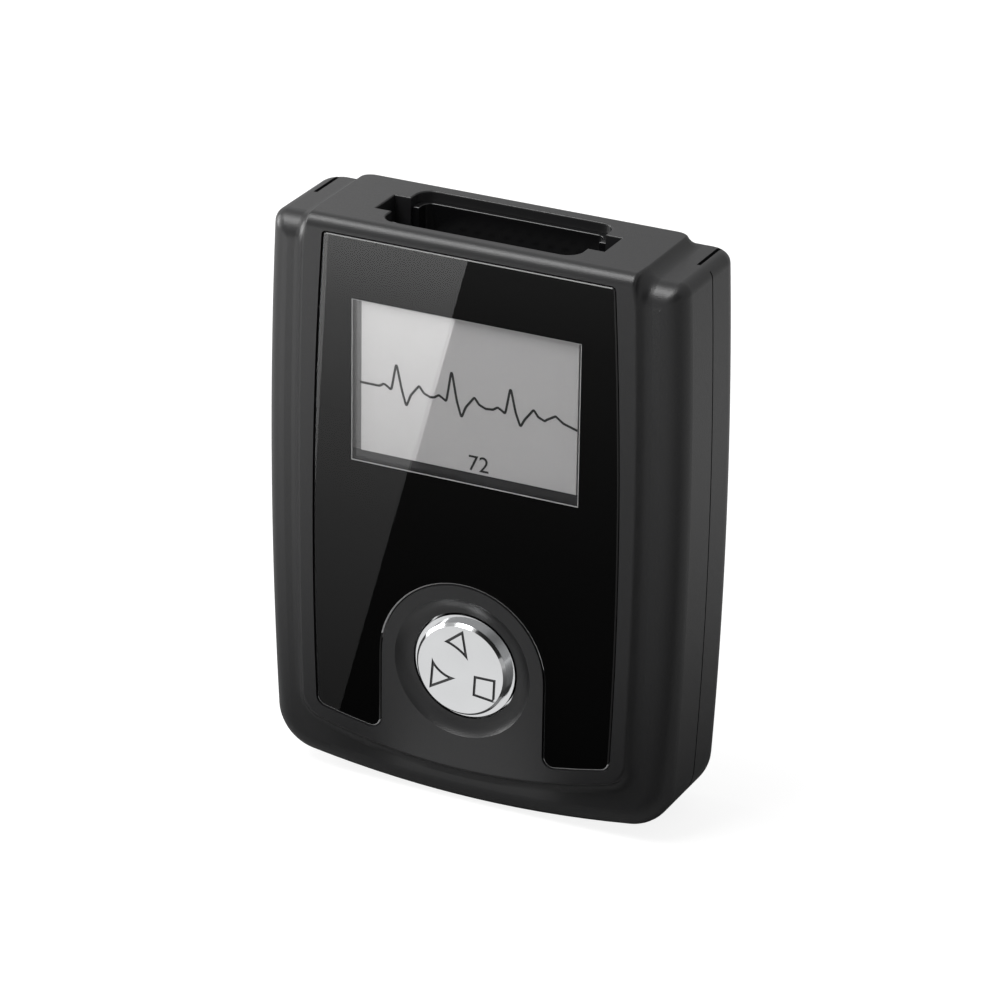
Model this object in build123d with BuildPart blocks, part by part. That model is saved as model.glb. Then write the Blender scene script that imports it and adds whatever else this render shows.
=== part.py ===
from build123d import *
import os

os.makedirs("parts", exist_ok=True)

# A pocket Holter recorder standing on its lower edge: X to the right, Y to the back, Z up.
# Depths are measured rearward from the flat front face of the lens.

# General
overrun = 1.0
fine_gap = 0.05

# Display stack; the display stands above the key's arch and spans the face block
glass_height = 24.6
glass_above_arch = 12.65
glass_top_margin = 7.95
glass_side_margin = 5.5
glass_depth = 1.3
glass_thick = 1.3
film_side_margin = 2.6
film_end_margin = 2.4
film_thick = 0.12
display_frame_wall = 0.8
display_gap = 0.15
display_opening_gap = 0.2
light_guide_thick = 0.9
light_guide_margin = 0.3
contact_strip_margin = 1.8
contact_strip_height = 1.4
contact_strip_thick = 1.2
contact_strip_edge = 0.4

# Main board
board_thick = 0.9
board_gap = 0.5
board_top_gap = 1.0
board_screw_radius = 0.65
board_head_radius = 1.35
board_head_thick = 0.8
board_post_radius = 1.8
board_screw_inset = 8.0
board_screw_bay_gap = 4.25
board_screw_key_gap = 2.35
screw_slot_width = 0.4
screw_slot_depth = 0.4

# Battery bay, cell and contacts
cell_radius = 5.25
cell_length = 44.5
cell_button_radius = 1.9
cell_button_length = 1.0
cell_sleeve_thick = 0.15
cell_end_round = 0.5
cell_height = 22.0
cell_door_gap = 0.15
cell_floor_gap = 0.15
bay_gap = 0.35
bay_end_space = 5.2
bay_wall = 0.8
bay_floor = 0.6
bay_board_gap = 0.2
contact_sheet = 0.3
contact_plate_width = 8.0
contact_bow = 0.85
contact_bow_width = 4.0
contact_bow_span = 6.0
contact_tab_width = 2.0
contact_tab_gap = 0.1

# Battery door and hinge
door_thick = 1.3
door_land = 1.4
door_gap = 0.25
door_ledge_gap = 0.1
door_frame_width = 1.2
door_frame_depth = 1.4
door_corner = 1.5
barrel_radius = 1.2
barrel_gap = 0.3
hinge_setback = 3.4
hinge_rib_wall = 1.3
door_knuckle_share = 0.754
knuckle_gap = 0.3
pin_radius = 0.5
detent_radius = 0.5
detent_proud = 0.2
detent_drop = 3.0
detent_length = 2.0
finger_groove_half = 5.0
finger_groove_radius = 0.9
door_seal_width = 0.8
door_seal_thick = 0.5

# Casing
wall = 1.6
front_wall = 2.4
bumper_depth = 1.0
front_round = 3.0
rear_round = 3.0
shoulder_drop = 1.2
shoulder_round = 1.5
bottom_corner = 6.2
body_low_inset = 1.25
body_low_height = 2.5
side_arcs = 8
body_widest_share = 0.566
body_top_inset = 0.9
foot_flat_depth = 0.06
seam_depth = 10.0
seam_gap = 0.25
seam_groove_depth = 0.35
gasket_inset = 0.7
gasket_width = 0.5
gasket_thick = 0.5

# Raised face block of the front housing
block_depth = 16.3
block_bottom = 5.6
block_low_inset = 6.4
block_low_rise = 3.4
block_inset = 5.8
block_widest_share = 0.503
block_top_inset = 6.6
block_corner = 3.0
block_back_corner = 1.5
block_front_round = 1.65
block_edge_round = 0.35
valley_round = 1.8
tongue_inset = 2.9
tongue_wall = 2.8
tongue_gap = 0.5

# Lens, its print and its tape
lens_thick = 0.65
lens_gap = 0.2
lens_top_margin = 1.9
lens_top_inset = 2.45
lens_inset = 1.95
lens_low_inset = 2.5
lens_low_rise = 2.5
lens_bottom_rise = 2.05
lens_leg_round = 1.3
lens_top_round = 0.4
lens_edge_round = 0.15
arch_radius = 11.4
print_thick = 0.1
tape_thick = 0.15
window_side_margin = 1.75
window_end_margin = 1.55
window_offset = 0.3
window_below_display = 0.55

# Key
key_height = 19.5
key_proud = 0.4
key_face_radius = 6.25
key_bevel = 0.35
key_face_thick = 1.4
key_flange_width = 0.65
key_flange_depth = 0.9
key_gap = 0.3
key_retainer_width = 0.9
key_retainer_thick = 0.5
key_wall = 1.0
key_travel_gap = 0.7
key_skirt_wall = 0.75
dish_width = 2.2
dish_sag = 0.25
well_gap = 0.8
symbol_line = 0.35
symbol_depth = 0.2
dome_radius = 1.7
dome_height = 0.5
post_radius = 0.8
post_gap = 0.4
ball_radius = 0.8
ball_behind_flange = 1.4
socket_cup_wall = 0.45
cup_gap = 0.25
post_circle_share = 0.57
up_symbol_share = ((-0.37, 0.55), (0.05, 0.88), (0.165, 0.24), (-0.085, 0.44))
left_symbol_share = ((-0.10, -0.205), (-0.69, -0.55), (-0.635, 0.135), (-0.425, -0.11))
square_symbol_share = ((0.30, -0.055), (0.785, -0.045), (0.765, -0.56), (0.275, -0.505))

# Cable socket in the top
mouth_half = 13.2
mouth_front = 2.6
mouth_length = 11.8
mouth_round = 2.1
mouth_deep = 5.6
notch_reach = 2.2
notch_setback = 3.3
notch_length = 5.1
rim_round = 0.2
tub_wall = 0.9
tub_floor = 1.0
shroud_wall = 1.0
shroud_drop = 1.25
shroud_base = 0.5
shroud_round = 0.15
shroud_notch_gap = 0.3
insulator_end = 2.0
insulator_side = 1.45
insulator_height = 9.0
insulator_fit = 0.1
insulator_flange = 0.8
contact_columns = 10
contact_pitch = 2.0
contact_row_pitch = 2.5
contact_hole_radius = 0.5
contact_recess = 0.4
contact_width = 0.6
contact_tail_thick = 0.4
contact_tail_step = 0.8

# Case screws and inserts
screw_inset = 6.2
screw_hinge_gap = 0.1
screw_below_top = 11.6
boss_radius = 2.5
boss_gap = 0.3
insert_radius = 1.6
insert_bore_radius = 1.0
insert_length = 4.0
screw_radius = 0.95
screw_hole_radius = 1.15
screw_head_radius = 1.8
screw_head_thick = 1.2
screw_head_gap = 0.2
screw_head_sink = 0.4
screw_recess_radius = 0.75
screw_recess_depth = 0.7
screw_tip_gap = 0.5

# Bare rating plate
plate_width = 34.0
plate_height = 19.0
plate_thick = 0.3
plate_gap = 0.15
plate_corner = 1.5
plate_below_top = 26.6

# Components on the back of the board: one row below the socket, one above the battery bay
component_gap = 0.6
can_width = 15.5
can_height = 11.0
can_thick = 2.2
can_sheet = 0.25
can_edge_gap = 3.2
amplifier_width = 6.4
amplifier_thick = 1.0
amplifier_pitch = 7.4
processor_width = 10.0
processor_thick = 1.4
processor_gap = 1.1
lead_count = 5
lead_pitch = 1.6
lead_width = 0.5
lead_reach = 0.8
lead_thick = 0.25
memory_width = 7.6
memory_height = 6.0
memory_thick = 1.0
memory_pitch = 8.4
memory_gap = 0.35
crystal_width = 6.0
crystal_height = 2.4
crystal_thick = 1.2
crystal_edge_gap = 4.6
coin_radius = 6.25
coin_thick = 1.6
coin_clip_sheet = 0.25
coin_clip_width = 4.0
beeper_radius = 4.3
beeper_thick = 3.0
beeper_edge_gap = 2.9
beeper_port_radius = 0.5
beeper_port_pitch = 1.7
beeper_port_count = 3
capacitor_width = 1.6
capacitor_height = 0.9
capacitor_thick = 0.7
capacitor_gap = 0.65
capacitor_rise = 1.8
capacitor_pitch = 2.3
capacitor_row_pitch = 2.0
capacitor_columns = 4
capacitor_rows = 2

# Depths worked out from the stack, front to back
recess_depth = lens_thick + print_thick + tape_thick
glass_back = glass_depth + glass_thick
board_depth = glass_back + contact_strip_thick
board_back = board_depth + board_thick
bay_floor_front = board_back + bay_board_gap
bay_floor_back = bay_floor_front + bay_floor
cell_depth = bay_floor_back + cell_floor_gap + cell_radius
door_inner = cell_depth + cell_radius + cell_door_gap
door_ledge = door_inner - door_ledge_gap
body_depth = door_inner + door_thick
rear_wall_depth = body_depth - wall
hinge_depth = body_depth - barrel_radius
front_y = -(body_depth - key_proud) / 2
flange_back = key_flange_depth + key_wall + key_travel_gap
ball_depth = key_flange_depth + ball_behind_flange
mouth_centre = mouth_front + mouth_length / 2
notch_front = mouth_front + notch_setback
notch_back = notch_front + notch_length
notch_centre = notch_front + notch_length / 2

# Overall width from the cell and its contacts, overall height from the key and the display
bay_half = cell_length / 2 + contact_sheet + contact_bow
body_half = bay_half + bay_end_space
body_width = 2 * body_half
glass_low = key_height + arch_radius + glass_above_arch
glass_high = glass_low + glass_height
body_height = glass_high + glass_top_margin

# Heights and half widths
shoulder_height = body_height - shoulder_drop
inner_top = body_height - tongue_wall
tongue_half = body_half - tongue_inset
block_half = body_half - block_inset
body_widest_height = body_height * body_widest_share
block_widest_height = body_height * block_widest_share
display_height = (glass_low + glass_high) / 2
glass_width = 2 * (block_half - glass_side_margin)
film_width = glass_width - 2 * film_side_margin
film_height = glass_height - 2 * film_end_margin
window_width = glass_width - 2 * window_side_margin
window_height = glass_height - 2 * window_end_margin
window_centre_height = display_height - window_below_display
opening_half_width = glass_width / 2 + display_gap + display_frame_wall + display_opening_gap
opening_half_height = glass_height / 2 + display_gap + display_frame_wall + display_opening_gap
light_guide_low = glass_low + contact_strip_edge + contact_strip_height + light_guide_margin
light_guide_high = glass_high - light_guide_margin
mouth_bottom = body_height - mouth_deep
tub_bottom = mouth_bottom - tub_floor
notch_half = mouth_half + notch_reach
insulator_width = (contact_columns - 1) * contact_pitch + 2 * insulator_end
insulator_thick = contact_row_pitch + 2 * insulator_side
insulator_bottom = mouth_bottom - insulator_height
key_flange_radius = key_face_radius + key_flange_width
key_hole_radius = key_flange_radius + key_gap
key_retainer_radius = key_flange_radius + key_retainer_width
dish_radius = key_hole_radius + dish_width
post_circle = key_face_radius * post_circle_share
bay_half_height = cell_radius + bay_gap
bay_low = cell_height - bay_half_height
bay_high = cell_height + bay_half_height
door_half = bay_half + door_land
door_top = bay_high + door_land
hinge_height = bay_low - hinge_setback
door_low = hinge_height + barrel_radius + barrel_gap
door_knuckle_half = door_half * door_knuckle_share
trough_radius = barrel_radius + barrel_gap
screw_half = body_half - screw_inset
screw_low_height = hinge_height - trough_radius - hinge_rib_wall - boss_radius - screw_hinge_gap
screw_places = [
    (side * screw_half, height)
    for side in (-1, 1)
    for height in (screw_low_height, body_height - screw_below_top)
]
board_half = body_half - wall - board_gap
board_top = tub_bottom - board_top_gap
post_bore_radius = board_screw_radius + fine_gap
board_screw_half = body_half - board_screw_inset
board_screw_high = bay_high + bay_wall + board_screw_bay_gap
board_screw_low = key_height - key_retainer_radius - well_gap - board_screw_key_gap
board_screw_places = [
    (-board_screw_half, board_screw_high),
    (board_screw_half, board_screw_high),
    (0, board_screw_low),
]

# Places of the components, each across and up
upper_row = insulator_bottom - 2 * contact_tail_step - component_gap
lower_row = bay_high + bay_wall + component_gap
lower_row_half = board_screw_half - board_head_radius
can_place = (can_edge_gap + can_width / 2 - board_half, upper_row - can_height / 2)
beeper_place = (board_half - beeper_edge_gap - beeper_radius, upper_row - beeper_radius)
processor_place = (
    beeper_place[0] - beeper_radius - processor_gap - lead_reach - processor_width / 2,
    upper_row - lead_reach - processor_width / 2,
)
coin_place = (
    component_gap + coin_clip_sheet + fine_gap + coin_radius - lower_row_half,
    lower_row + coin_radius,
)
memory_place = (
    lower_row_half - memory_gap - (memory_width + memory_pitch) / 2,
    lower_row + lead_reach + memory_height / 2,
)
capacitor_low = memory_place[1] + memory_height / 2 + lead_reach + capacitor_rise
crystal_place = (
    board_half - crystal_edge_gap - crystal_width / 2,
    capacitor_low + (capacitor_rows - 1) * capacitor_row_pitch / 2,
)
capacitor_span = (capacitor_columns - 1) * capacitor_pitch + capacitor_width
capacitor_middle = crystal_place[0] - crystal_width / 2 - capacitor_gap - capacitor_span / 2


def layer(depth):
    # sketch plane that faces the front, with its local y upward
    return Plane.XZ.offset(-(front_y + depth))


def finish(piece, name):
    piece.part.label = name
    export_step(piece.part, f"parts/{name}.step")


def bowed_side(start, middle, end, arcs):
    # a parabola through three points, drawn as a chain of arcs
    lean = (end[0] - start[0]) / (end[1] - start[1])
    bow = ((middle[0] - start[0]) / (middle[1] - start[1]) - lean) / (middle[1] - end[1])
    step = (end[1] - start[1]) / (2 * arcs)
    heights = [start[1] + index * step for index in range(2 * arcs + 1)]
    points = [(start[0] + (z - start[1]) * (lean + bow * (z - end[1])), z) for z in heights]
    for index in range(0, 2 * arcs, 2):
        ThreePointArc(*points[index : index + 3])


def rounded_shield(bottom, low, wide, top, corner, arcs=1):
    # curved bottom, bowed sides, flat top; low, wide and top each give a half width and its height
    with BuildLine() as edge_line:
        ThreePointArc((-low[0], low[1]), (0, bottom), (low[0], low[1]))
        for side in (-1, 1):
            ends = [(side * half, height) for half, height in (low, wide, top)]
            bowed_side(*ends, arcs)
        Line((-top[0], top[1]), (top[0], top[1]))
    make_face(edge_line.edges())
    fillet(vertices().group_by(Axis.Y)[0], corner)


def body_outline(inset=0):
    rounded_shield(
        -foot_flat_depth,
        (body_half - body_low_inset, body_low_height),
        (body_half, body_widest_height),
        (body_half - body_top_inset, body_height + shoulder_drop),
        bottom_corner,
        1 if inset else side_arcs,
    )
    if inset:
        offset(amount=-inset, kind=Kind.INTERSECTION)


def lens_outline(grow=0):
    # the face block's outline drawn in, with an arch cut up from below for the key
    rounded_shield(
        block_bottom + lens_bottom_rise,
        (block_half - lens_low_inset, block_bottom + lens_bottom_rise + lens_low_rise),
        (block_half - lens_inset, block_widest_height),
        (body_half - block_top_inset - lens_top_inset, body_height - lens_top_margin),
        lens_leg_round,
    )
    fillet(vertices().group_by(Axis.Y)[-1], lens_top_round)
    with Locations((0, key_height)):
        Circle(arch_radius, mode=Mode.SUBTRACT)
    with Locations((0, key_height / 2)):
        Rectangle(2 * arch_radius, key_height, mode=Mode.SUBTRACT)
    fillet(vertices().group_by(Axis.Y)[0], lens_leg_round)
    if grow:
        offset(amount=grow, kind=Kind.INTERSECTION)


def box_between(x_range, depth_range, z_range, mode=Mode.ADD):
    centre = (sum(x_range) / 2, front_y + sum(depth_range) / 2, sum(z_range) / 2)
    with Locations(centre):
        Box(
            x_range[1] - x_range[0],
            depth_range[1] - depth_range[0],
            z_range[1] - z_range[0],
            mode=mode,
        )


def both(half):
    return (-half, half)


def rod_rearward(place, radius, start, end, mode=Mode.ADD):
    # round bar along Y between two depths
    with BuildSketch(layer(start)) as disc:
        with Locations(place):
            Circle(radius)
    extrude(disc.sketch, amount=start - end, mode=mode)


def rod_across(x_range, depth, height, radius, mode=Mode.ADD):
    # round bar along X
    with BuildSketch(Plane.YZ.offset(x_range[0])) as disc:
        with Locations((front_y + depth, height)):
            Circle(radius)
    extrude(disc.sketch, amount=x_range[1] - x_range[0], mode=mode)


# Outer form of the body, both halves together
with BuildPart() as outer_body:
    with BuildSketch(layer(bumper_depth)):
        body_outline()
    extrude(amount=bumper_depth - body_depth)
    fillet(outer_body.faces().sort_by(Axis.Y)[0].edges().sort_by(Axis.Z)[:-1], front_round)
    fillet(outer_body.faces().sort_by(Axis.Y)[-1].edges().sort_by(Axis.Z)[:-1], rear_round)
    with BuildSketch(Plane.YZ):
        with Locations((front_y + (bumper_depth + body_depth) / 2, shoulder_height / 2)):
            Rectangle(body_depth - bumper_depth, shoulder_height)
        side_corners = vertices().group_by(Axis.Y)[-1].sort_by(Axis.X)
        fillet(side_corners[0], front_round)
        fillet(side_corners[-1], rear_round)
    extrude(amount=body_width, both=True, mode=Mode.INTERSECT)
    shoulder_edges = outer_body.faces().sort_by(Axis.Z)[-1].edges().sort_by(Axis.X)
    fillet([shoulder_edges[0], shoulder_edges[-1]], shoulder_round)

# The same with the raised face block, which sweeps down to the body all round. The hollow is made
# on a taller block, which is then cut back to the face and to the top.
with BuildPart() as outer_front:
    with BuildSketch(layer(-valley_round)):
        rounded_shield(
            block_bottom,
            (body_half - block_low_inset, block_bottom + block_low_rise),
            (block_half, block_widest_height),
            (body_half - block_top_inset, body_height + valley_round),
            block_corner,
            side_arcs,
        )
    extrude(amount=-block_depth - valley_round)
    back_edges = outer_front.faces().sort_by(Axis.Y)[-1].edges().sort_by(Axis.X)
    fillet([back_edges[0], back_edges[-1]], block_back_corner)
    add(outer_body.part)
    foot_edges = outer_front.edges().filter_by(
        lambda e: abs(e.center().Y - front_y - bumper_depth) < seam_gap
        and abs(e.center().X) < block_half + wall
        and block_bottom - wall < e.center().Z < shoulder_height - front_round
    )
    rise_edges = outer_front.edges().filter_by(
        lambda e: front_y + bumper_depth + seam_gap / 2 < e.center().Y < front_y + block_depth - seam_gap
        and abs(abs(e.center().X) - body_half + block_top_inset) < seam_gap
        and shoulder_height - front_round < e.center().Z < shoulder_height + seam_gap
    )
    fillet(foot_edges + rise_edges, valley_round)
    with BuildSketch(Plane.YZ):
        with Locations((front_y + body_depth / 2, body_height / 2)):
            Rectangle(body_depth, body_height)
        fillet(vertices().group_by(Axis.Y)[-1].sort_by(Axis.X)[0], block_front_round)
    extrude(amount=body_width, both=True, mode=Mode.INTERSECT)
    fillet(outer_front.faces().sort_by(Axis.Z)[-1].edges().sort_by(Axis.X)[0], block_edge_round)

# Room inside the walls, from the front wall to the rear wall
with BuildPart() as cavity:
    with BuildSketch(layer(front_wall)):
        body_outline(wall)
        with Locations((0, inner_top / 2)):
            Rectangle(body_width, inner_top, mode=Mode.INTERSECT)
    extrude(amount=front_wall - rear_wall_depth)

# What belongs to the rear half: behind the seam, but for the tongue that carries the top
with BuildPart() as rear_region:
    box_between(both(body_width), (seam_depth, body_depth + overrun), (-overrun, body_height + overrun))
    box_between(
        both(tongue_half),
        (seam_depth - overrun, block_depth),
        (inner_top, body_height + 2 * overrun),
        mode=Mode.SUBTRACT,
    )

# Shadow groove along the seam
with BuildPart() as seam_groove:
    box_between(both(body_width), (seam_depth - seam_gap, seam_depth), (-overrun, body_height + overrun))
    with BuildSketch(layer(seam_depth - seam_gap)):
        body_outline(seam_groove_depth)
    extrude(amount=-seam_gap, mode=Mode.SUBTRACT)

# Seal of the seam: a U that runs down one side, along the bottom and up the other side
with BuildPart() as housing_gasket:
    with BuildSketch(layer(seam_depth - gasket_thick)):
        body_outline(gasket_inset)
        with BuildSketch(mode=Mode.SUBTRACT):
            body_outline(gasket_inset + gasket_width)
        with Locations((0, (body_height - tongue_wall - gasket_inset) / 2)):
            Rectangle(body_width, body_height - tongue_wall - gasket_inset, mode=Mode.INTERSECT)
    extrude(amount=-gasket_thick)
finish(housing_gasket, "housing_gasket")

# Front shell with the lens recess, display opening, key hole, socket tub and bosses
with BuildPart() as front_housing:
    add(outer_front.part)
    add(rear_region.part, mode=Mode.SUBTRACT)
    add(cavity.part, mode=Mode.SUBTRACT)
    add(seam_groove.part, mode=Mode.SUBTRACT)
    tub_heights = (tub_bottom, shoulder_height)
    tub_back = mouth_front + mouth_length + tub_wall
    box_between(both(mouth_half + tub_wall), (front_wall - bumper_depth, tub_back), tub_heights)
    box_between(both(notch_half + tub_wall), (notch_front - tub_wall, notch_back + tub_wall), tub_heights)
    with BuildSketch(Plane.XY.offset(mouth_bottom)):
        with Locations((0, front_y + mouth_centre)):
            RectangleRounded(2 * mouth_half, mouth_length, mouth_round)
        with Locations((0, front_y + notch_centre)):
            Rectangle(2 * notch_half, notch_length)
    extrude(amount=mouth_deep + overrun, mode=Mode.SUBTRACT)
    rim_edges = front_housing.edges().filter_by(
        lambda e: abs(e.center().Z - body_height) < fine_gap
        and abs(e.center().X) < notch_half + tub_wall
        and mouth_front - fine_gap < e.center().Y - front_y < mouth_front + mouth_length + fine_gap
    )
    fillet(rim_edges, rim_round)
    slot_half = insulator_thick / 2 + insulator_fit
    box_between(
        both(insulator_width / 2 + insulator_fit),
        (notch_centre - slot_half, notch_centre + slot_half),
        (tub_bottom - overrun, mouth_bottom + overrun),
        mode=Mode.SUBTRACT,
    )
    with BuildSketch(layer(0)):
        lens_outline(lens_gap)
    extrude(amount=-recess_depth, mode=Mode.SUBTRACT)
    box_between(
        both(opening_half_width),
        (-overrun, front_wall + overrun),
        (display_height - opening_half_height, display_height + opening_half_height),
        mode=Mode.SUBTRACT,
    )
    for place in screw_places:
        rod_rearward(place, boss_radius, front_wall - bumper_depth / 2, seam_depth)
    add(housing_gasket.part, mode=Mode.SUBTRACT)
    for place in screw_places:
        rod_rearward(place, insert_bore_radius, front_wall, seam_depth, mode=Mode.SUBTRACT)
        rod_rearward(place, insert_radius, seam_depth - insert_length, seam_depth, mode=Mode.SUBTRACT)
    for place in board_screw_places:
        rod_rearward(place, board_post_radius, front_wall - bumper_depth / 2, board_depth)
        rod_rearward(place, post_bore_radius, front_wall - bumper_depth / 2, board_depth, mode=Mode.SUBTRACT)
    # the dish runs down in a curve from the face to the edge of the key hole
    with BuildSketch(Plane.YZ):
        with BuildLine():
            rim = (front_y, key_height + dish_radius)
            hole_edge = (front_y + key_flange_depth, key_height + key_hole_radius)
            dish_middle = (
                front_y + key_flange_depth / 2 + dish_sag,
                key_height + key_hole_radius + dish_width / 2,
            )
            ThreePointArc(rim, dish_middle, hole_edge)
            Polyline(
                hole_edge,
                (front_y + board_depth, key_height + key_hole_radius),
                (front_y + board_depth, key_height),
                (front_y - overrun, key_height),
                (front_y - overrun, key_height + dish_radius),
                rim,
            )
        make_face()
    revolve(axis=Axis((0, 0, key_height), (0, 1, 0)), mode=Mode.SUBTRACT)
    rod_rearward(
        (0, key_height),
        key_retainer_radius + well_gap,
        key_flange_depth + key_wall,
        front_wall + overrun,
        mode=Mode.SUBTRACT,
    )
finish(front_housing, "front_housing")

# Rear shell with the battery bay, door frame, hinge knuckles and screw holes
frame_half = door_half + door_gap + door_frame_width
detent_y = front_y + (door_inner + body_depth) / 2
with BuildPart() as rear_housing:
    add(outer_body.part)
    add(rear_region.part, mode=Mode.INTERSECT)
    add(cavity.part, mode=Mode.SUBTRACT)
    box_between(
        both(tongue_half + tongue_gap),
        (seam_depth - overrun, block_depth + seam_gap),
        (inner_top - overrun, body_height),
        mode=Mode.SUBTRACT,
    )
    for place in screw_places:
        rod_rearward(place, boss_radius, seam_depth, body_depth - wall / 2)
    box_between(
        both(bay_half + bay_wall), (bay_floor_front, door_ledge), (bay_low - bay_wall, bay_high + bay_wall)
    )
    box_between(
        both(frame_half),
        (door_ledge - door_frame_depth, door_ledge),
        (hinge_height, door_top + door_gap + door_frame_width),
    )
    box_between(
        both(frame_half),
        (hinge_depth - trough_radius - hinge_rib_wall, door_ledge),
        (hinge_height - trough_radius - hinge_rib_wall, bay_low),
    )
    bay_depths = (bay_floor_back, body_depth + overrun)
    box_between(both(bay_half), bay_depths, (bay_low, bay_high), mode=Mode.SUBTRACT)
    for side in (-1, 1):
        tab_edges = sorted((side * (bay_half - contact_sheet - contact_tab_gap), side * bay_half))
        box_between(
            tab_edges,
            (bay_floor_front - overrun, bay_floor_back + overrun),
            (
                cell_height - contact_tab_width / 2 - contact_tab_gap,
                cell_height + contact_tab_width / 2 + contact_tab_gap,
            ),
            mode=Mode.SUBTRACT,
        )
    with BuildSketch(layer(door_ledge)):
        with Locations((0, (door_low + door_top) / 2)):
            Rectangle(2 * (door_half + door_gap), door_top - door_low + 2 * door_gap)
        fillet(vertices().group_by(Axis.Y)[-1], door_corner + door_gap)
    extrude(amount=door_ledge - body_depth - overrun, mode=Mode.SUBTRACT)
    rod_across(both(door_half + door_gap), hinge_depth, hinge_height, trough_radius, mode=Mode.SUBTRACT)
    box_between(
        both(door_half + door_gap),
        (hinge_depth, body_depth + overrun),
        (hinge_height - trough_radius, door_low),
        mode=Mode.SUBTRACT,
    )
    for side in (-1, 1):
        knuckle_ends = sorted((side * (door_knuckle_half + knuckle_gap), side * (door_half + door_gap)))
        rod_across(knuckle_ends, hinge_depth, hinge_height, barrel_radius)
        knuckle_front = hinge_depth - trough_radius
        box_between(knuckle_ends, (knuckle_front, body_depth), (hinge_height - trough_radius, hinge_height))
        box_between(knuckle_ends, (knuckle_front, hinge_depth), (hinge_height, hinge_height + barrel_radius))
    rod_across(both(door_half), hinge_depth, hinge_height, pin_radius + fine_gap, mode=Mode.SUBTRACT)
    rod_across(both(finger_groove_half), body_depth, door_top, finger_groove_radius, mode=Mode.SUBTRACT)
    for side in (-1, 1):
        with Locations((side * (door_half + door_gap), detent_y, door_top - detent_drop)):
            Cylinder(detent_radius - detent_proud, detent_length, mode=Mode.SUBTRACT)
    for place in screw_places:
        rod_rearward(place, screw_hole_radius, seam_depth, body_depth, mode=Mode.SUBTRACT)
        rod_rearward(
            place,
            screw_head_radius + screw_head_gap,
            body_depth - screw_head_sink - screw_head_thick,
            body_depth + overrun,
            mode=Mode.SUBTRACT,
        )
    with BuildSketch(layer(body_depth - plate_thick)):
        with Locations((0, body_height - plate_below_top)):
            RectangleRounded(plate_width + 2 * plate_gap, plate_height + 2 * plate_gap, plate_corner)
    extrude(amount=-plate_thick - overrun, mode=Mode.SUBTRACT)
    for index in range(beeper_port_count):
        rise = (index - (beeper_port_count - 1) / 2) * beeper_port_pitch
        rod_rearward(
            (beeper_place[0], beeper_place[1] + rise),
            beeper_port_radius,
            rear_wall_depth - overrun,
            body_depth + overrun,
            mode=Mode.SUBTRACT,
        )
finish(rear_housing, "rear_housing")

# Fasteners of the casing
with BuildPart() as threaded_inserts:
    for place in screw_places:
        rod_rearward(place, insert_radius - fine_gap, seam_depth - insert_length, seam_depth)
        rod_rearward(place, insert_bore_radius, seam_depth - insert_length, seam_depth, mode=Mode.SUBTRACT)
finish(threaded_inserts, "threaded_inserts")

with BuildPart() as case_screws:
    head_front = body_depth - screw_head_sink - screw_head_thick
    for place in screw_places:
        rod_rearward(place, screw_head_radius, head_front, body_depth - screw_head_sink)
        rod_rearward(place, screw_radius, seam_depth - insert_length + screw_tip_gap, head_front)
    with BuildSketch(layer(body_depth - screw_head_sink - screw_recess_depth)):
        with Locations(*screw_places):
            RegularPolygon(screw_recess_radius, 6)
    extrude(amount=-screw_recess_depth, mode=Mode.SUBTRACT)
finish(case_screws, "case_screws")

with BuildPart() as rating_plate:
    with BuildSketch(layer(body_depth - plate_thick)):
        with Locations((0, body_height - plate_below_top)):
            RectangleRounded(plate_width, plate_height, plate_corner)
    extrude(amount=-plate_thick)
finish(rating_plate, "rating_plate")

# Lens, print and tape, front to back
with BuildPart() as front_lens:
    with BuildSketch(layer(0)):
        lens_outline()
    extrude(amount=-lens_thick)
    chamfer(front_lens.faces().sort_by(Axis.Y)[0].edges(), lens_edge_round)
finish(front_lens, "front_lens")

with BuildPart() as lens_print:
    with BuildSketch(layer(lens_thick)):
        lens_outline()
        with Locations((-window_offset, window_centre_height)):
            Rectangle(window_width, window_height, mode=Mode.SUBTRACT)
    extrude(amount=-print_thick)
finish(lens_print, "lens_print")

with BuildPart() as lens_adhesive:
    with BuildSketch(layer(lens_thick + print_thick)):
        lens_outline()
        with Locations((0, display_height)):
            Rectangle(2 * opening_half_width, 2 * opening_half_height, mode=Mode.SUBTRACT)
    extrude(amount=-tape_thick)
finish(lens_adhesive, "lens_adhesive")

# Display
with BuildPart() as display_film:
    box_between(
        both(film_width / 2),
        (glass_depth - film_thick, glass_depth),
        (display_height - film_height / 2, display_height + film_height / 2),
    )
finish(display_film, "display_film")

with BuildPart() as display_glass:
    box_between(both(glass_width / 2), (glass_depth, glass_back), (glass_low, glass_high))
finish(display_glass, "display_glass")

with BuildPart() as display_backlight:
    box_between(
        both(glass_width / 2 - light_guide_margin),
        (glass_back, glass_back + light_guide_thick),
        (light_guide_low, light_guide_high),
    )
finish(display_backlight, "display_backlight")

with BuildPart() as display_connector:
    box_between(
        both(glass_width / 2 - contact_strip_margin),
        (glass_back, board_depth),
        (glass_low + contact_strip_edge, glass_low + contact_strip_edge + contact_strip_height),
    )
finish(display_connector, "display_connector")

with BuildPart() as display_frame:
    frame_inner_width = glass_width / 2 + display_gap
    frame_inner_height = glass_height / 2 + display_gap
    box_between(
        both(frame_inner_width + display_frame_wall),
        (glass_depth, board_depth),
        (
            display_height - frame_inner_height - display_frame_wall,
            display_height + frame_inner_height + display_frame_wall,
        ),
    )
    box_between(
        both(frame_inner_width),
        (glass_depth, board_depth),
        (display_height - frame_inner_height, display_height + frame_inner_height),
        mode=Mode.SUBTRACT,
    )
finish(display_frame, "display_frame")

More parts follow.
